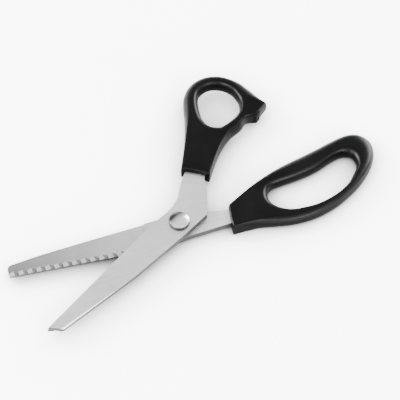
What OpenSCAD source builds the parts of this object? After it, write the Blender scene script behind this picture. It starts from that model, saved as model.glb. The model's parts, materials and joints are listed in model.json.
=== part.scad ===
// Pinking shears with moulded handles.
// X runs along the lower blade, from its tip to the finger handle. Z is up.
// The origin is on the pivot axis, in the underside of the pivot nut, on which the shears lie.

/* [Pose] */
// Angle between the closed stop and the pose that is drawn
open_rest = 24.2; // [4:0.1:40]

/* [Blades] */
// Distance from the pivot to the cutting corner of the lower blade
blade_reach = 104.3; // [80:0.1:140]
// Thickness of each steel plate
steel_t = 3.6; // [2.4:0.1:5]
// Free gap between the two riding faces
mate_gap = 0.1; // [0.05:0.01:0.3]
// Lower blade: distance of its cutting corner from the centre line
lower_edge_y = 3.8; // [2:0.1:8]
// Lower blade: slope of its cutting edge, degrees
lower_edge_deg = 5.8; // [2:0.1:9]
// Lower blade: distance of its back from the centre line, at the nose
lower_back_nose = 5.2; // [3:0.1:8]
// Lower blade: distance of its back from the centre line, half way
lower_back_mid = 7.2; // [4:0.1:9]
// Lower blade: distance of its back from the centre line, near the pivot
lower_back_pivot = 7.7; // [6:0.1:9]
// Upper blade: distance of its cutting corner from the centre line, closed
upper_edge_y = 2.9; // [1:0.1:8]
// Upper blade: slope of its cutting edge when closed, degrees
upper_edge_deg = 8.2; // [4:0.1:12]
// Upper blade: distance of its back from the centre line, at the nose
upper_back_nose = 10.2; // [8:0.1:13]
// Upper blade: distance of its back from the centre line, half way
upper_back_mid = 11.3; // [8:0.1:14]
// Upper blade: distance of its back from the centre line, near the pivot
upper_back_pivot = 9.3; // [8:0.1:12]
// Radius of the nose of each blade
nose_r = 3; // [1.5:0.1:4]
// Lower blade: lean of the ground side along its cutting edge, degrees from upright
lower_lean = 22; // [4:1:35]
// Upper blade: lean of the ground side along its cutting edge, degrees from upright
upper_lean = 10; // [4:1:35]
// Width of the bevel along the back, at the nose
back_bevel = 1.1; // [0.5:0.1:1.8]
// Length over which that bevel runs out towards the pivot
bevel_run = 58; // [40:1:80]

/* [Teeth] */
// Number of teeth along each blade
tooth_count = 16; // [8:1:22]
// Height of a tooth from valley to peak
tooth_h = 1.6; // [1:0.1:2.2]
// Width of the toothed strip
strip_w = 3.4; // [2.5:0.1:6]
// Radius of the flat riding face round the pivot
ride_r = 21; // [18:0.5:28]
// Depth of the hollow face below the valleys of the teeth
hollow_extra = 0.2; // [0.1:0.05:0.5]
// Width of the groove between the riding face and the first tooth
ride_groove = 0.4; // [0.2:0.1:1]

/* [Pivot] */
// Diameter of the screw head
head_d = 12.6; // [10:0.1:15]
// Height of the screw head
head_h = 2.7; // [1.5:0.1:4]
// Diameter of the shoulder that the upper blade turns on
shoulder_d = 7; // [5:0.1:9]
// Radial clearance of the upper blade on the shoulder
run_clear = 0.05; // [0.02:0.01:0.09]
// Step in diameter from the shoulder to the neck that keys the screw to the lower blade
neck_step = 1.2; // [0.8:0.1:2]
// Width that the two flats take off the neck
flats_cut = 1; // [0.6:0.1:1.4]
// Step in diameter from the neck to the threaded end
thread_step = 1.4; // [1.1:0.1:2]
// Outer diameter of the washer between the blades
washer_d = 12.4; // [9:0.1:13]
// Depth of the seat of that washer in the lower blade
washer_seat = 0.5; // [0.3:0.05:1]
// Outer diameter of the spring washer
spring_d = 9.6; // [9:0.1:12]
// Thickness of the spring washer
spring_t = 0.7; // [0.5:0.05:1.2]
// Diameter of the nut
nut_d = 13.4; // [11:0.1:16]
// Thickness of the nut
nut_t = 2.2; // [1.8:0.1:4]

/* [Handles] */
// Thickness of both handles
handle_t = 9.4; // [8:0.1:12]
// Gap between the handles at the closed stop
stop_gap = 0.25; // [0.1:0.05:0.6]
// Free gap round each tang in its pocket
tang_clear = 0.1; // [0.05:0.05:0.3]
// Diameter of the moulded peg through each tang
peg_d = 4; // [3:0.1:5]
// Height of the stop pad
pad_h = 8; // [5:0.1:9]
// How far the pad stands in front of the stop face
pad_proud = 0.3; // [0.1:0.05:0.6]

/* [Hidden] */
$fn = 64;
eps = 0.5;              // how far a cut runs past the surface it opens

// heights of the stack, from the underside of the nut
lower_z0 = nut_t + spring_t;
lower_z1 = lower_z0 + steel_t;
upper_z0 = lower_z1 + mate_gap;
upper_z1 = upper_z0 + steel_t;
washer_z = lower_z1 - washer_seat;
finger_z = lower_z0 + steel_t / 2;
thumb_z = upper_z0 + steel_t / 2;
hollow = tooth_h / 2 + hollow_extra;
tooth_pitch = (blade_reach - ride_r) / tooth_count;
neck_d = shoulder_d - neck_step;
neck_flats = neck_d - flats_cut;
thread_d = neck_d - thread_step;
fit = 0.05;             // radial gap of parts that are clamped, not running
stud_end = 0.7;         // distance of the end of the screw from the underside

// a smooth curve through four values, between the middle two
function smooth(a, b, c, d, t) = 0.5 * ((2 * b) + (c - a) * t
    + (2 * a - 5 * b + 4 * c - d) * t * t + (3 * b - a - 3 * c + d) * t * t * t);

// a smooth curve through all of these points
function curve(pts, spans = 3) = let (last = len(pts) - 1) concat(
    [for (i = [0:last - 1], s = [0:spans - 1])
        smooth(pts[max(i - 1, 0)], pts[i], pts[i + 1], pts[min(i + 2, last)], s / spans)],
    [pts[last]]);

// ---- outlines: the blade points run from the nose, along the back, to the tang and home ----
function polar(r, a) = [r * cos(a), r * sin(a)];
function arc(c, r, a0, a1, n = 6) = [for (i = [0:n]) c + polar(r, a0 + (a1 - a0) * i / n)];

// each tang: foot, end, half width at the foot and at the end
lower_tang = [[27, -3.4], [50, -3.6], 5, 3.7];
upper_tang = [[26.3, -16.5], [50.5, -32], 6.6, 4.3];

lower_tip = [-blade_reach, -lower_edge_y];
lower_heel = lower_tip + 74 * [1, -tan(lower_edge_deg)];
lower_nose = [nose_r - blade_reach - 0.2, lower_back_nose - nose_r];
lower_outline = concat(
    [lower_tip],
    arc(lower_nose, nose_r, 180, 100),
    curve([[-blade_reach * 0.8, lower_back_nose + 0.62 * (lower_back_mid - lower_back_nose)],
        [-blade_reach / 2, lower_back_mid], [-12, lower_back_pivot]]),
    curve([[6, lower_back_pivot - 0.4], [19, 4.1], lower_tang[0] + [1.3, lower_tang[2]]]),
    [lower_tang[0] + [1.3, -lower_tang[2]], [6, -9.2], [-8, -10.2], lower_heel]);

// the upper blade is drawn closed and turned over, so that its mate face is up too
upper_tip = [-blade_reach - 0.6, upper_edge_y];
upper_heel = upper_tip + 78 * [1, -tan(upper_edge_deg)];
upper_nose = [-blade_reach + 6.7, upper_back_nose - nose_r];
upper_outline = concat(
    [upper_tip],
    arc(upper_nose, nose_r, 160, 90),
    [[-45, upper_back_mid], [-7, upper_back_pivot]],
    curve([[15.6, 7.3], [21, 2], [28, -6], [31.7, -11.6]]),
    curve([[24.4, -22.8], [18.3, -18.9], [13.6, -15.4], [9.5, -12.5], [1.4, -10.1], [-9, -9.5]]),
    [upper_heel]);

// ---- handles: rings of sections that run from the finger hole out to the rim ----
// each station: hole point, rim point, inner shoulder, outer shoulder, 1 at a sharp rim corner
stop_a = [87, 24.8];
stop_b = [97, 27.1];
finger_ring = [
    [[110.5, 1.5], [120.1, 0.6], 3, 6.5, 0],
    [[114.5, 6.3], [125.5, 6.9], 3.5, 7, 0],
    [[115.7, 11], [129.1, 14.1], 4, 8, 0],
    [[114.9, 15.8], [129.7, 22.2], 4.5, 9, 0],
    [[110.8, 18.2], [125.1, 29], 4.5, 9, 0],
    [[105.5, 17.7], [117.5, 31.1], 4.5, 8.5, 0],
    [[99.2, 15.5], [107, 29.6], 4.5, 8.5, 0],
    [[91.8, 12.7], stop_b, 4.5, 8, 0],
    [[84.2, 11.1], stop_a, 4, 7.5, 0],
    [[76.1, 10.1], [76, 22.5], 4, 6.5, 0],
    [[68.1, 9.6], [66, 19.7], 4, 4.5, 0],
    [[62.2, 8.9], [56.1, 15.9], 4, 3, 0],
    [[59.1, 7.3], [46.2, 11], 4, 2, 0],
    [[57.4, 4.9], [31.8, 3], 4, 1, 1],
    [[56.7, 1.5], [30, -5], 4, 1, 0],
    [[57.3, -2], [29.1, -13], 4, 1, 1],
    [[58.9, -4.9], [43, -14.2], 3.5, 3.4, 0],
    [[62, -8], [53, -16.9], 3, 5.6, 0],
    [[67.4, -10.8], [63.4, -19.2], 2.5, 5.6, 0],
    [[75, -11.8], [73, -19.8], 2.5, 5.2, 0],
    [[83.5, -11.8], [82.3, -18.9], 2.5, 4.6, 0],
    [[92, -10.1], [93.9, -15.6], 2, 3.6, 0],
    [[99.5, -7.3], [102.9, -11.4], 2, 3.4, 0],
    [[106, -3.2], [112, -6.1], 2.5, 4.4, 0]];

// the thumb handle is drawn at its closed stop, where its lug meets the finger handle
stop_dir = (stop_b - stop_a) / norm(stop_b - stop_a);
stop_out = [-stop_dir[1], stop_dir[0]];
function on_stop(along, off) = stop_a + along * stop_dir + (stop_gap + off) * stop_out;
lug_near = on_stop(1.3, pad_proud);
lug_far = on_stop(12.4, pad_proud);
thumb_ring = [
    [[88.2, 42.5], [99.4, 38], 3.5, 7.4, 0],
    [[89.4, 46.6], [99.2, 45], 3, 6.6, 0],
    [[89.9, 50.5], [98.8, 50.5], 3, 5.8, 0],
    [[89.1, 54.9], [97, 56.9], 3, 5, 0],
    [[86.9, 58.9], [93.6, 63.4], 3, 5, 0],
    [[83, 62.2], [87.4, 69], 3, 5, 0],
    [[78.5, 63.1], [79.8, 71.5], 3, 5.2, 0],
    [[74.1, 62.3], [72.2, 70.7], 3, 5.4, 0],
    [[70.8, 59.9], [65.2, 67], 3, 5.6, 0],
    [[67.8, 56.2], [59.7, 61.2], 3.5, 5.4, 0],
    [[65.1, 52], [54.3, 54.4], 4, 4.4, 0],
    [[62.8, 47.8], [47.2, 46.4], 4, 2.8, 0],
    [[61.9, 44.8], [37.5, 36.9], 4, 1.8, 0],
    [[61.6, 42.8], [25.7, 26.5], 4, 1, 1],
    [[61.7, 41], [31.1, 19.4], 4, 1, 0],
    [[62.2, 39.2], [35.4, 11.7], 4, 1, 1],
    [[63.7, 37], [46.7, 18.5], 4, 1.8, 0],
    [[66.1, 34.8], [56.7, 23.3], 4, 3, 0],
    [[69.9, 34], [66.1, 25.8], 3, 4, 0],
    [[74.5, 34], [75.1, 26.1], 3, 4, 0],
    [[78.6, 34.2], [82.2, 28.2], 2.5, 2.5, 0],
    [[82.6, 35.7], lug_near, 2.5, 1, 1],
    [[85.8, 38.7], lug_far, 3, 1.6, 1]];

// station number i of the ring, at part t of the way to the next
function hole_point(ring, i, t) = let (n = len(ring))
    smooth(ring[(i + n - 1) % n][0], ring[i][0], ring[(i + 1) % n][0], ring[(i + 2) % n][0], t);
function rim_point(ring, i, t) = let (n = len(ring), j = (i + 1) % n,
    before = ring[i][4] == 1 ? i : (i + n - 1) % n,
    after = ring[j][4] == 1 ? j : (i + 2) % n)
    smooth(ring[before][1], ring[i][1], ring[j][1], ring[after][1], t);
function between(ring, i, t, k) = ring[i][k] * (1 - t) + ring[(i + 1) % len(ring)][k] * t;

// quarter of a rounded section: [distance into the shoulder 0..1, height 0..1]
function quarter(a, power) = [pow(cos(a), 2 / power), pow(sin(a), 2 / power)];

// one closed section between hole point h and rim point r, with shoulders a and b
steps = 4;
function section(h, r, a, b) = let (w = norm(r - h), d = (r - h) / w, k = min(1, 0.96 * w / (a + b)))
    concat(
        [for (s = [0:steps]) let (q = quarter(90 * s / steps, 2)) [k * a * (1 - q[0]), q[1]]],
        [for (s = [steps:-1:0]) let (q = quarter(90 * s / steps, 2.6)) [w - k * b * (1 - q[0]), q[1]]],
        [for (s = [1:steps]) let (q = quarter(90 * s / steps, 2.6)) [w - k * b * (1 - q[0]), -q[1]]],
        [for (s = [steps:-1:1]) let (q = quarter(90 * s / steps, 2)) [k * a * (1 - q[0]), -q[1]]]);

module ring_solid(ring, spans = 2) {
    n = len(ring) * spans;
    stations = [for (i = [0:len(ring) - 1], s = [0:spans - 1]) let (
        t = s / spans, h = hole_point(ring, i, t), r = rim_point(ring, i, t))
        [h, (r - h) / norm(r - h), section(h, r, between(ring, i, t, 2), between(ring, i, t, 3))]];
    m = len(stations[0][2]);
    points = [for (st = stations, p = st[2])
        [st[0][0] + p[0] * st[1][0], st[0][1] + p[0] * st[1][1], p[1] * handle_t / 2]];
    faces = [for (i = [0:n - 1], j = [0:m - 1]) let (
        next = ((i + 1) % n) * m, k = (j + 1) % m, a = i * m + j, b = i * m + k, c = next + k, d = next + j)
        each [[a, c, b], [a, d, c]]];
    polyhedron(points, faces, convexity = 8);
}

// ---- steel ----
// a tapered bar with a round end a little wider than the bar; grow widens it all round, for the pocket
module tang_plan(tang, grow = 0) {
    axis = tang[1] - tang[0];
    side = [-axis[1], axis[0]] / norm(axis);
    foot = (tang[2] + grow) * side;
    end = (tang[3] - 0.4 + grow) * side;
    polygon([tang[0] + foot, tang[1] + end, tang[1] - end, tang[0] - foot]);
    translate(tang[1]) circle(tang[3] + grow);
}

function peg_at(tang) = tang[0] * 0.25 + tang[1] * 0.75;

// ring of teeth about the pivot, from the foot of the plate up to the tooth faces
module tooth_ring(phase) {
    reach = blade_reach + 3 * tooth_pitch;
    first = ride_r - tooth_pitch;
    half = tooth_pitch / 2;
    zig = [for (i = [0:2 * (tooth_count + 4)]) let (r = first + (i + phase) * half)
        if (r > first && r < reach) [r, steel_t + (i % 2 == 0 ? -1 : 1) * tooth_h / 2]];
    rotate([0, 0, 90])
    rotate_extrude(angle = 180)
    polygon(concat([[zig[0][0], 0]], zig, [[zig[len(zig) - 1][0], 0]]));
}

// strip of the plan that carries the teeth, along the cutting edge
module strip_plan(tip, edge_deg) {
    translate(tip) rotate(-edge_deg) translate([-5, -eps]) square([blade_reach + 5, strip_w + eps]);
}

// a blade with its mate face up, its underside at z = 0 and its cutting edge on the -Y side
module steel(outline, tip, edge_deg, lean, tang, back, phase) {
    top = steel_t + tooth_h / 2;
    difference() {
        union() {
            linear_extrude(steel_t - hollow) polygon(outline);
            linear_extrude(steel_t) intersection() {
                polygon(outline);
                union() {
                    circle(ride_r);
                    translate([0, -60]) square([60, 120]);
                }
            }
            linear_extrude(steel_t) tang_plan(tang);
            intersection() {
                linear_extrude(top + eps) difference() {
                    intersection() {
                        polygon(outline);
                        strip_plan(tip, edge_deg);
                    }
                    circle(ride_r + ride_groove);
                }
                tooth_ring(phase);
            }
        }
        // ground side of the cutting edge, which leans away from the cut
        translate([tip[0], tip[1], top + eps])
        rotate([0, 0, -edge_deg])
        rotate([lean, 0, 0])
        translate([-8, -12, -20])
        cube([blade_reach + 8, 12, 24]);
        // bevel along the back, which runs out towards the pivot
        translate([tip[0], back[0] - back_bevel, 0])
        rotate([0, 0, atan((back[1] - back[0] + back_bevel) / bevel_run)])
        rotate([45, 0, 0])
        translate([-10, -12, -12])
        cube([10 + bevel_run, 24, 12]);
        translate([peg_at(tang)[0], peg_at(tang)[1], -eps])
        cylinder(d = peg_d + 2 * fit, h = steel_t + 2 * eps);
    }
}

module double_d(d, flats, h) {
    intersection() {
        cylinder(d = d, h = h);
        translate([-d, -flats / 2, 0]) cube([2 * d, flats, h]);
    }
}

module lower_blade() {
    color("#b9bab8")
    translate([0, 0, lower_z0])
    difference() {
        steel(lower_outline, lower_tip, lower_edge_deg, lower_lean, lower_tang,
            [lower_back_nose, lower_back_mid], 0);
        translate([0, 0, steel_t - washer_seat]) cylinder(d = washer_d + 2 * fit, h = washer_seat + eps);
        translate([0, 0, -eps]) double_d(neck_d + 2 * fit, neck_flats + 2 * fit, steel_t + 2 * eps);
    }
}

// places what belongs to the upper blade, drawn at the closed stop, into the drawn pose
module opened() {
    rotate([0, 0, open_rest]) children();
}

module upper_blade() {
    color("#cfd0ce")
    opened()
    translate([0, 0, upper_z1])
    rotate([180, 0, 0])
    difference() {
        steel(upper_outline, upper_tip, upper_edge_deg, upper_lean, upper_tang,
            [upper_back_nose, upper_back_mid], 1);
        translate([0, 0, -eps]) cylinder(d = shoulder_d + 2 * run_clear, h = steel_t + 2 * eps);
    }
}

// ---- handles ----
module pocket(tang) {
    translate([0, 0, -steel_t / 2])
    linear_extrude(steel_t)
    difference() {
        tang_plan(tang, tang_clear);
        translate(peg_at(tang)) circle(d = peg_d);
    }
}

module finger_handle() {
    color("#1d1d1f")
    translate([0, 0, finger_z])
    difference() {
        ring_solid(finger_ring);
        pocket(lower_tang);
    }
}

pad_corners = [on_stop(0.7, 0) + [-4, 4], on_stop(0.7, 0), on_stop(4.2, 0), on_stop(4.2, 5.2)];

module pad_plan(grow = 0) {
    polygon([pad_corners[0], pad_corners[1], pad_corners[2] + [grow, 0], pad_corners[3] + [grow, grow]]);
}

module thumb_handle() {
    color("#1d1d1f")
    opened()
    translate([0, 0, thumb_z])
    difference() {
        ring_solid(thumb_ring);
        mirror([0, 1, 0]) pocket(upper_tang);
        translate([0, 0, -pad_h / 2 - fit]) linear_extrude(pad_h + 2 * fit) pad_plan(fit);
    }
}

module stop_pad() {
    color("#0d0d0e")
    opened()
    translate([0, 0, thumb_z - pad_h / 2])
    linear_extrude(pad_h) pad_plan();
}

// ---- pivot ----
module pivot_screw() {
    seat = upper_z1 + fit;
    rim = head_h * 0.45;
    dome_r = (pow(head_d / 2 - 0.6, 2) + pow(head_h - rim - 0.4, 2)) / (2 * (head_h - rim - 0.4));
    dome_a = asin((head_d / 2 - 0.6) / dome_r);
    head = concat([[0, 0], [head_d / 2 - 0.3, 0], [head_d / 2, 0.3], [head_d / 2, rim]],
        arc([head_d / 2 - 0.6, rim - 0.2], 0.6, 20, 90 - dome_a, 4),
        [for (i = [0:8]) let (a = dome_a * (1 - i / 8)) [dome_r * sin(a), head_h - dome_r * (1 - cos(a))]]);
    color("#d6d6d4") {
        translate([0, 0, seat]) rotate_extrude() polygon(head);
        translate([0, 0, washer_z]) cylinder(d = shoulder_d, h = seat - washer_z + 0.2);
        translate([0, 0, lower_z0]) double_d(neck_d, neck_flats, washer_z - lower_z0 + 0.2);
        translate([0, 0, stud_end]) cylinder(d = thread_d, h = lower_z0 - stud_end + 0.2);
    }
}

module blade_washer() {
    color("#b08d4f")
    translate([0, 0, washer_z])
    difference() {
        cylinder(d = washer_d, h = washer_seat + mate_gap);
        translate([0, 0, -eps]) cylinder(d = shoulder_d + 2 * fit, h = washer_seat + mate_gap + 2 * eps);
    }
}

module spring_washer() {
    color("#8f9092")
    translate([0, 0, nut_t])
    difference() {
        cylinder(d = spring_d, h = spring_t);
        translate([0, 0, -eps]) cylinder(d = neck_d + 2 * fit, h = spring_t + 2 * eps);
        rotate([0, 0, 40]) translate([0, -0.4, -eps]) cube([spring_d, 0.8, spring_t + 2 * eps]);
    }
}

module pivot_nut() {
    slot_w = 1.8;
    slot_d = 0.8;
    color("#c2c3c1")
    difference() {
        rotate_extrude()
        polygon([[0, 0], [nut_d / 2 - 0.4, 0], [nut_d / 2, 0.4], [nut_d / 2, nut_t], [0, nut_t]]);
        translate([0, 0, stud_end - 0.1]) cylinder(d = thread_d + 2 * fit, h = nut_t);
        for (side = [-1, 1])
            translate([side * (nut_d / 2 - 1), 0, 0]) cube([2 * 1.6, slot_w, 2 * slot_d], center = true);
    }
}

lower_blade();
upper_blade();
finger_handle();
thumb_handle();
stop_pad();
pivot_screw();
blade_washer();
spring_washer();
pivot_nut();
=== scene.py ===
import json
import math

import bpy
from mathutils import Matrix, Vector


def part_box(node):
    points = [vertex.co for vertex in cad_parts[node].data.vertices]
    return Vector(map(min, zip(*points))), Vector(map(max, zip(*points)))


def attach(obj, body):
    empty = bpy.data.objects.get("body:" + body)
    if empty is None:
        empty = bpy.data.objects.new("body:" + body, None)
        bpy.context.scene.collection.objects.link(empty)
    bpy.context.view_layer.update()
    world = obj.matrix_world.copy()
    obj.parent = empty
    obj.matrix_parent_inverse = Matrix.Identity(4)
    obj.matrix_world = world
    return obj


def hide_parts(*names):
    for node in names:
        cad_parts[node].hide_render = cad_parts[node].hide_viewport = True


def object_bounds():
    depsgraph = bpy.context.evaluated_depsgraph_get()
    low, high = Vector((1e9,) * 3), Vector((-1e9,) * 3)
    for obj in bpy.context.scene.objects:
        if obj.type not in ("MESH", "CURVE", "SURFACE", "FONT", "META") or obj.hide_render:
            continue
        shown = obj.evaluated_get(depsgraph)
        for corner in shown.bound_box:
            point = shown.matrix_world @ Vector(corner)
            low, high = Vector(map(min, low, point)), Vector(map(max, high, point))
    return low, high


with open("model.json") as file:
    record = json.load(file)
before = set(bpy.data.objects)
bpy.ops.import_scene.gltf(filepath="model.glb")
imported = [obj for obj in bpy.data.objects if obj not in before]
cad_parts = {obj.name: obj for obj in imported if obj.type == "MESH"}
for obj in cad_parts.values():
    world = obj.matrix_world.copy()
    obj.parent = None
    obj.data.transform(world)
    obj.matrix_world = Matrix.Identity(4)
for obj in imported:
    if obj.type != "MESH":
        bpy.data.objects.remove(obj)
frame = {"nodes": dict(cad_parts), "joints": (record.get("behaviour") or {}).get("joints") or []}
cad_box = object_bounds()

MM = 0.001
HINGE = next(j for j in frame["joints"] if j["name"] == "blade_pivot")
OPEN_REST = -HINGE["range_deg"][0]
LOWER = "lower_half"
UPPER = "upper_half"

# how far a face points up, from 1 on a top to -1 on an underside; the blades get painted shade on faces
# in these ranges
WALL = (-0.5, 0.5)
BEVEL = (0.5, 0.75)
FLANK = (0.75, 0.97)


def mid_z(node):
    low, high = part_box(node)
    return (low.z + high.z) / 2


def half_z(node):
    low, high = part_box(node)
    return (high.z - low.z) / 2


# ---------------------------------------------------------------- node helpers
class Shader:
    """A material's node tree, with short calls for the nodes used here."""

    def __init__(self, name):
        self.mat = bpy.data.materials.new(name)
        self.mat.use_nodes = True
        self.nodes = self.mat.node_tree.nodes
        self.links = self.mat.node_tree.links
        self.bsdf = self.nodes["Principled BSDF"]
        self.coords = self.nodes.new("ShaderNodeTexCoord").outputs["Object"]

    def put(self, socket, value):
        if isinstance(value, bpy.types.NodeSocket):
            self.links.new(value, socket)
        else:
            socket.default_value = value

    def set(self, **values):
        for name, value in values.items():
            self.put(self.bsdf.inputs[name.replace("_", " ")], value)

    def mapping(self, scale=(1, 1, 1), angle=0.0):
        node = self.nodes.new("ShaderNodeMapping")
        node.inputs["Scale"].default_value = scale
        node.inputs["Rotation"].default_value = (0, 0, angle)
        self.put(node.inputs["Vector"], self.coords)
        return node.outputs["Vector"]

    def noise(self, vector, scale, detail=2.0, rough=0.5):
        node = self.nodes.new("ShaderNodeTexNoise")
        node.inputs["Scale"].default_value = scale
        node.inputs["Detail"].default_value = detail
        node.inputs["Roughness"].default_value = rough
        self.put(node.inputs["Vector"], vector)
        return node.outputs["Fac"]

    def ramp(self, factor, stops):
        node = self.nodes.new("ShaderNodeValToRGB")
        ramp = node.color_ramp
        while len(ramp.elements) < len(stops):
            ramp.elements.new(0.5)
        for element, (at, colour) in zip(ramp.elements, stops):
            element.position = at
            element.color = (*colour, 1)
        self.put(node.inputs["Fac"], factor)
        return node.outputs["Color"]

    def math(self, kind, a, b=0.0, c=0.0):
        node = self.nodes.new("ShaderNodeMath")
        node.operation = kind
        for socket, value in zip(node.inputs, (a, b, c)):
            self.put(socket, value)
        return node.outputs["Value"]

    def span(self, factor, low, high, from_low=0.0, from_high=1.0):
        """low where the factor is from_low or less, high where it is from_high or more."""
        node = self.nodes.new("ShaderNodeMapRange")
        self.put(node.inputs["Value"], factor)
        node.inputs["From Min"].default_value = from_low
        node.inputs["From Max"].default_value = from_high
        node.inputs["To Min"].default_value = low
        node.inputs["To Max"].default_value = high
        return node.outputs["Result"]

    def tilt(self, axis="Z"):
        """How far the surface faces along an axis of its piece, from -1 to 1."""
        normal = self.nodes.new("ShaderNodeTexCoord").outputs["Normal"]
        node = self.nodes.new("ShaderNodeSeparateXYZ")
        self.put(node.inputs["Vector"], normal)
        return node.outputs[axis]

    def within(self, value, low, high):
        """1 where the value lies between low and high, else 0."""
        above = self.math("GREATER_THAN", value, low)
        return self.math("MULTIPLY", above, self.math("LESS_THAN", value, high))

    def blend(self, factor, a, b):
        """a where the factor is 0 and b where it is 1."""
        return self.math("MULTIPLY_ADD", factor, self.math("SUBTRACT", b, a), a)

    def grey_of(self, value):
        """A grey of this value, as a colour socket."""
        node = self.nodes.new("ShaderNodeCombineColor")
        for channel in ("Red", "Green", "Blue"):
            self.put(node.inputs[channel], value)
        return node.outputs["Color"]

    def bump(self, height, strength, distance):
        node = self.nodes.new("ShaderNodeBump")
        node.inputs["Strength"].default_value = strength
        node.inputs["Distance"].default_value = distance
        self.put(node.inputs["Height"], height)
        self.put(self.bsdf.inputs["Normal"], node.outputs["Normal"])


def grey(value):
    return (value, value, value)


# ---------------------------------------------------------------- materials
def brushed_steel(name, angle, tip_shading, shank_shading, rough, teeth):
    """Satin steel with grain along the blade, at this angle in plan, and a painted shading from tip to
    shank.

    teeth is 1 where they stand up and -1 where they hang down. Their sharpened flanks, the bevels and
    the upright edges get painted shade, darker than the flats; the flanks that face the tip a little
    less so.
    """
    s = Shader(name)
    along = s.mapping(scale=(40, 1600, 1600), angle=-angle)
    grain = s.noise(along, 1.0, detail=6, rough=0.7)
    cloud = s.noise(s.coords, 55.0, detail=3)
    reach = s.nodes.new("ShaderNodeSeparateXYZ")
    s.put(reach.inputs["Vector"], s.mapping(angle=-angle))
    tip_x, shank_x = -0.105, 0.03
    # painted shade and light: a lightness that runs from tip to shank, standing in for the way the
    # steel's reflection falls off
    tone = s.span(reach.outputs["X"], tip_shading, shank_shading, tip_x, shank_x)
    tilt = s.tilt()
    # painted shade: tooth flanks, bevels and upright walls are darkened by which way they face, and the
    # flanks by whether they face the tip or the pivot
    wall = s.within(tilt, *WALL)
    flank = s.within(s.math("MULTIPLY", tilt, teeth), *FLANK)
    bevel = s.within(s.math("ABSOLUTE", tilt), *BEVEL)
    to_tip, to_pivot, bevel_shade, wall_shade = 0.11, 0.05, 0.35, 0.05
    flank_shade = s.span(s.tilt("X"), to_tip, to_pivot, -0.1, 0.1)
    tone = s.blend(bevel, s.blend(flank, tone, flank_shade), bevel_shade)
    tone = s.blend(wall, tone, wall_shade)
    dull = s.math("MAXIMUM", wall, flank)
    s.set(Base_Color=s.grey_of(s.math("MULTIPLY", tone, s.span(grain, 0.92, 1.06, 0.3, 0.7))))
    mixed = s.math("ADD", s.math("MULTIPLY", grain, 0.6), s.math("MULTIPLY", cloud, 0.4))
    polish = s.span(mixed, rough - 0.05, rough + 0.09, 0.3, 0.7)
    s.set(Roughness=s.math("MULTIPLY_ADD", dull, 0.2, polish), Metallic=1.0)
    s.bump(grain, 0.12, 0.00004)
    return s.mat


def polished_steel(name, tone, side_shading, rough):
    """Turned steel: a painted highlight on the top that falls off towards the back left, and painted
    shade on the turned side.
    """
    s = Shader(name)
    fine = s.noise(s.mapping(scale=(900, 900, 900)), 1.0, detail=4)
    # painted shade on the turned side and the rounded rim, and a painted highlight on the top that
    # falls off towards the back left
    side = s.within(s.tilt(), -0.6, 0.6)
    toward = s.math("SUBTRACT", s.math("MULTIPLY", s.tilt("X"), 0.5), s.tilt("Y"))
    painted_sheen = s.span(toward, 0.05 * tone, 1.15 * tone, -0.25, 0.05)
    crown = s.blend(s.span(s.math("ABSOLUTE", s.tilt()), 0.0, 1.0, 0.87, 0.94), side_shading, painted_sheen)
    shade = s.math("MULTIPLY", s.blend(side, crown, side_shading), s.span(fine, 0.95, 1.04, 0.3, 0.7))
    s.set(Base_Color=s.grey_of(shade), Metallic=1.0)
    polish = s.span(fine, rough - 0.04, rough + 0.06, 0.3, 0.7)
    s.set(Roughness=s.math("MULTIPLY_ADD", side, 0.12, polish))
    s.bump(fine, 0.05, 0.00002)
    return s.mat


def moulded_plastic(name, tone, rough, pebble):
    """Black moulded plastic: a very fine pebble, uneven gloss from handling, and shinier shoulders."""
    s = Shader(name)
    pits = s.noise(s.mapping(scale=(1500, 1500, 1500)), 1.0, detail=2)
    wear = s.noise(s.coords, 38.0, detail=3, rough=0.6)
    s.set(Base_Color=s.ramp(wear, [(0.3, (tone, tone, tone * 1.06)), (0.75, grey(tone * 1.5))]))
    s.set(Roughness=s.span(wear, rough - 0.05, rough + 0.08, 0.3, 0.7))
    level = s.math("ABSOLUTE", s.tilt())
    shoulder = s.span(level, 0.03, 0.13, 0.2, 0.6)
    s.set(Specular_IOR_Level=s.math("MULTIPLY", shoulder, s.span(level, 1.0, 0.4, 0.9, 0.99)))
    s.bump(pits, pebble, 0.00005)
    return s.mat


def floor_paper(name, glow):
    """White sweep that glows as if lit from below, with a painted contact shadow where something stands
    close to it.
    """
    s = Shader(name)
    fibre = s.noise(s.coords, 300.0, detail=3)
    s.set(Roughness=0.8, Specular_IOR_Level=0.0)
    # painted contact shadow: the glow and the paper's grey fall off where the ambient occlusion finds
    # something close by
    open_sky = s.nodes.new("ShaderNodeAmbientOcclusion")
    open_sky.inputs["Distance"].default_value = 0.05
    lit = s.math("POWER", open_sky.outputs["AO"], 2.2)
    paper = s.span(fibre, 0.93, 0.96, 0.3, 0.7)
    s.set(Base_Color=s.grey_of(s.math("MULTIPLY", paper, s.math("SQRT", lit))))
    s.set(Emission_Color=(1, 1, 1, 1), Emission_Strength=s.math("MULTIPLY", lit, glow))
    return s.mat


# ---------------------------------------------------------------- handles
# all in millimetres, drawn with the shears closed
STOP_A = (87, 24.8)
STOP_B = (97, 27.1)
STOP_GAP = 0.25
PAD_PROUD = 0.3
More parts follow.
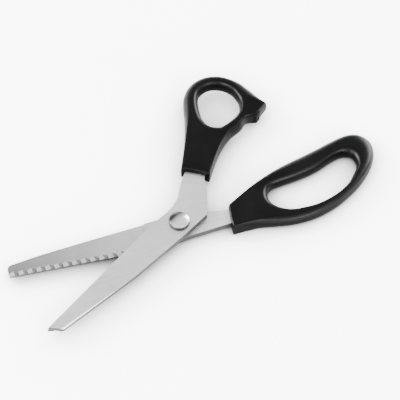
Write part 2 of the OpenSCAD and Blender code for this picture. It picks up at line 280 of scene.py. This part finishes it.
# hole point, rim point, inner shoulder, outer shoulder, and 1 where the rim has a sharp corner
FINGER_RING = [
    ((110.5, 1.5), (120.1, 0.6), 3, 6.5, 0),
    ((114.5, 6.3), (125.5, 6.9), 3.5, 7, 0),
    ((115.7, 11), (129.1, 14.1), 4, 8, 0),
    ((114.9, 15.8), (129.7, 22.2), 4.5, 9, 0),
    ((110.8, 18.2), (125.1, 29), 4.5, 9, 0),
    ((105.5, 17.7), (117.5, 31.1), 4.5, 8.5, 0),
    ((99.2, 15.5), (107, 29.6), 4.5, 8.5, 0),
    ((91.8, 12.7), STOP_B, 4.5, 8, 0),
    ((84.2, 11.1), STOP_A, 4, 7.5, 0),
    ((76.1, 10.1), (76, 22.5), 4, 6.5, 0),
    ((68.1, 9.6), (66, 19.7), 4, 4.5, 0),
    ((62.2, 8.9), (56.1, 15.9), 4, 3, 0),
    ((59.1, 7.3), (46.2, 11), 4, 2, 0),
    ((57.4, 4.9), (31.8, 3), 4, 1, 1),
    ((56.7, 1.5), (30, -5), 4, 1, 0),
    ((57.3, -2), (29.1, -13), 4, 1, 1),
    ((58.9, -4.9), (43, -14.2), 3.5, 3.4, 0),
    ((62, -8), (53, -16.9), 3, 5.6, 0),
    ((67.4, -10.8), (63.4, -19.2), 2.5, 5.6, 0),
    ((75, -11.8), (73, -19.8), 2.5, 5.2, 0),
    ((83.5, -11.8), (82.3, -18.9), 2.5, 4.6, 0),
    ((92, -10.1), (93.9, -15.6), 2, 3.6, 0),
    ((99.5, -7.3), (102.9, -11.4), 2, 3.4, 0),
    ((106, -3.2), (112, -6.1), 2.5, 4.4, 0),
]


def on_stop(along, off):
    """A point of the thumb handle's stop, drawn closed: along the stop line and off it."""
    a = Vector(STOP_A)
    line = (Vector(STOP_B) - a).normalized()
    out = Vector((-line.y, line.x))
    return tuple(a + along * line + (STOP_GAP + off) * out)


THUMB_RING = [
    ((88.2, 42.5), (99.4, 38), 3.5, 7.4, 0),
    ((89.4, 46.6), (99.2, 45), 3, 6.6, 0),
    ((89.9, 50.5), (98.8, 50.5), 3, 5.8, 0),
    ((89.1, 54.9), (97, 56.9), 3, 5, 0),
    ((86.9, 58.9), (93.6, 63.4), 3, 5, 0),
    ((83, 62.2), (87.4, 69), 3, 5, 0),
    ((78.5, 63.1), (79.8, 71.5), 3, 5.2, 0),
    ((74.1, 62.3), (72.2, 70.7), 3, 5.4, 0),
    ((70.8, 59.9), (65.2, 67), 3, 5.6, 0),
    ((67.8, 56.2), (59.7, 61.2), 3.5, 5.4, 0),
    ((65.1, 52), (54.3, 54.4), 4, 4.4, 0),
    ((62.8, 47.8), (47.2, 46.4), 4, 2.8, 0),
    ((61.9, 44.8), (37.5, 36.9), 4, 1.8, 0),
    ((61.6, 42.8), (25.7, 26.5), 4, 1, 1),
    ((61.7, 41), (31.1, 19.4), 4, 1, 0),
    ((62.2, 39.2), (35.4, 11.7), 4, 1, 1),
    ((63.7, 37), (46.7, 18.5), 4, 1.8, 0),
    ((66.1, 34.8), (56.7, 23.3), 4, 3, 0),
    ((69.9, 34), (66.1, 25.8), 3, 4, 0),
    ((74.5, 34), (75.1, 26.1), 3, 4, 0),
    ((78.6, 34.2), (82.2, 28.2), 2.5, 2.5, 0),
    ((82.6, 35.7), on_stop(1.3, PAD_PROUD), 2.5, 1, 1),
    ((85.8, 38.7), on_stop(12.4, PAD_PROUD), 3, 1.6, 1),
]


def smooth(a, b, c, d, t):
    """A smooth curve through four values, between the middle two."""
    square = 2 * a - 5 * b + 4 * c - d
    cube = 3 * b - a - 3 * c + d
    return 0.5 * (2 * b + (c - a) * t + square * t * t + cube * t**3)


def station(ring, i, t):
    """Hole point, rim point and both shoulders at part t of the way from station i to the next."""
    n = len(ring)
    j = (i + 1) % n
    hole = [Vector(ring[k % n][0]) for k in (i - 1, i, j, j + 1)]
    before = i if ring[i][4] else (i - 1) % n
    after = j if ring[j][4] else (j + 1) % n
    rim = [Vector(ring[k][1]) for k in (before, i, j, after)]
    inner = ring[i][2] * (1 - t) + ring[j][2] * t
    outer = ring[i][3] * (1 - t) + ring[j][3] * t
    return smooth(*hole, t), smooth(*rim, t), inner, outer


def quarter(steps, power):
    """Points of a rounded shoulder, as (distance in, height), each from 0 to 1, foot first."""
    out = []
    for k in range(steps + 1):
        a = math.pi / 2 * k / steps
        out.append((math.cos(a) ** (2 / power), math.sin(a) ** (2 / power)))
    return out


def section(width, inner, outer, steps=10, inner_power=2.0, outer_power=2.3):
    """One closed section, as (distance from the hole, height from -1 to 1)."""
    most = 0.96
    k = min(1, most * width / (inner + outer))
    hole_side = [(k * inner * (1 - x), z) for x, z in quarter(steps, inner_power)]
    rim_side = [(width - k * outer * (1 - x), z) for x, z in quarter(steps, outer_power)]
    flat = [(hole_side[-1][0] * (1 - f) + rim_side[-1][0] * f, 1.0) for f in (0.25, 0.5, 0.75)]
    top = hole_side + flat + rim_side[::-1]
    return top + [(x, -z) for x, z in top[-2:0:-1]]


def ring_mesh(name, ring, half, middle, turn, spans=8):
    """A handle: sections that run from the finger hole out to the rim, all the way round the hole."""
    points = []
    sides = None
    for i in range(len(ring)):
        for s in range(spans):
            hole, rim, inner, outer = station(ring, i, s / spans)
            along = (rim - hole).normalized()
            outline = section((rim - hole).length, inner, outer)
            sides = len(outline)
            for d, z in outline:
                p = hole + along * d
                points.append((p.x * MM, p.y * MM, middle + half * z))
    n = len(ring) * spans
    faces = []
    for i in range(n):
        for j in range(sides):
            a, b = i * sides + j, i * sides + (j + 1) % sides
            c, d = (i + 1) % n * sides + (j + 1) % sides, (i + 1) % n * sides + j
            faces.append((a, d, c, b))
    mesh = bpy.data.meshes.new(name)
    mesh.from_pydata(points, [], faces)
    mesh.transform(Matrix.Rotation(math.radians(turn), 4, "Z"))
    mesh.validate()
    mesh.shade_smooth()
    piece = bpy.data.objects.new(name, mesh)
    bpy.context.scene.collection.objects.link(piece)
    return piece


def handles(material):
    for node, ring, body, turn in (
        ("finger_handle", FINGER_RING, LOWER, 0),
        ("thumb_handle", THUMB_RING, UPPER, OPEN_REST),
    ):
        piece = ring_mesh(node + "_moulding", ring, half_z(node), mid_z(node), turn)
        piece.data.materials.append(material)
        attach(piece, body)
        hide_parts(node)


# ---------------------------------------------------------------- steel
def dress(node, material, bevel):
    """Gives a CAD node its material and a small bevel that catches the light."""
    piece = frame["nodes"][node]
    piece.data.materials.clear()
    piece.data.materials.append(material)
    if bevel:
        rounding = piece.modifiers.new("edge", "BEVEL")
        rounding.width = bevel
        rounding.segments = 2
        rounding.limit_method = "ANGLE"
        rounding.angle_limit = math.radians(25)
        rounding.harden_normals = False


# ---------------------------------------------------------------- stage
def area_light(name, place, aim, size, power):
    light = bpy.data.lights.new(name, "AREA")
    light.shape = "RECTANGLE"
    light.size, light.size_y = size
    light.energy = power
    lamp = bpy.data.objects.new(name, light)
    lamp.location = place
    lamp.rotation_euler = (Vector(aim) - Vector(place)).to_track_quat("-Z", "Y").to_euler()
    bpy.context.scene.collection.objects.link(lamp)


def stage():
    """The pale floor, the even sky and the five softboxes."""
    mesh = bpy.data.meshes.new("floor")
    side = 3.0
    corners = [(-side, -side, 0), (side, -side, 0), (side, side, 0), (-side, side, 0)]
    mesh.from_pydata(corners, [], [(0, 1, 2, 3)])
    floor = bpy.data.objects.new("floor", mesh)
    clear_of_nut = 0.00005
    floor.location.z = cad_box[0].z - clear_of_nut
    mesh.materials.append(floor_paper("floor_paper", 4.0))
    bpy.context.scene.collection.objects.link(floor)
    world = bpy.data.worlds.new("studio")
    world.use_nodes = True
    back = world.node_tree.nodes["Background"]
    back.inputs["Color"].default_value = (1, 1, 1, 1)
    back.inputs["Strength"].default_value = 1.3
    bpy.context.scene.world = world
    # name, place, aim, size and power
    area_light("right", (0.9, 0.45, 0.4), (0.02, 0, 0), (0.7, 0.5), 32)
    area_light("back", (-0.1, 1.0, 0.28), (0.02, 0, 0), (0.8, 0.2), 6)
    area_light("key", (-0.75, 0.65, 0.55), (0.02, 0, 0), (0.5, 0.4), 36)
    area_light("side", (-0.8, -0.3, 0.7), (0, 0, 0), (0.6, 0.6), 24)
    area_light("fill", (0.3, -0.9, 0.6), (0, 0, 0), (0.8, 0.4), 22)


def camera():
    """A long lens from the front left, 54 degrees up."""
    target = Vector((19.0, 17.9, 0)) * MM
    azimuth = math.radians(-18.8)
    elevation = math.radians(54)
    flat = math.cos(elevation)
    away = Vector((math.sin(azimuth) * flat, -math.cos(azimuth) * flat, math.sin(elevation)))
    lens = bpy.data.cameras.new("camera")
    lens.lens = 180
    lens.sensor_width = 36
    eye = bpy.data.objects.new("camera", lens)
    distance = 1.2
    eye.location = target + away * distance
    eye.rotation_euler = (-away).to_track_quat("-Z", "Y").to_euler()
    bpy.context.scene.collection.objects.link(eye)
    bpy.context.scene.camera = eye


camera()
stage()
upper_grain = math.radians(OPEN_REST + 3)
handles(moulded_plastic("handle_plastic", 0.001, 0.36, 0.15))
# painted shade and light: the lower blade's dark tip and light shank, and the upper blade's lighter
# face, are one steel shaded differently
dress("lower_blade", brushed_steel("lower_steel", 0.0, 0.22, 0.78, 0.34, 1), 0.00012)
dress("upper_blade", brushed_steel("upper_steel", upper_grain, 0.74, 0.72, 0.3, -1), 0.00012)
# painted shade and highlight: the screw's near-black side and bright dome, and the lighter tops and
# darker sides of washers and nut
dress("pivot_screw", polished_steel("screw_steel", 0.78, 0.015, 0.2), 0.0001)
dress("blade_washer", polished_steel("washer_bronze", 0.4, 0.2, 0.3), 0.0)
dress("spring_washer", polished_steel("spring_steel", 0.4, 0.2, 0.3), 0.0)
dress("pivot_nut", polished_steel("nut_steel", 0.6, 0.3, 0.25), 0.0001)
dress("stop_pad", moulded_plastic("pad_rubber", 0.002, 0.7, 0.3), 0.0002)
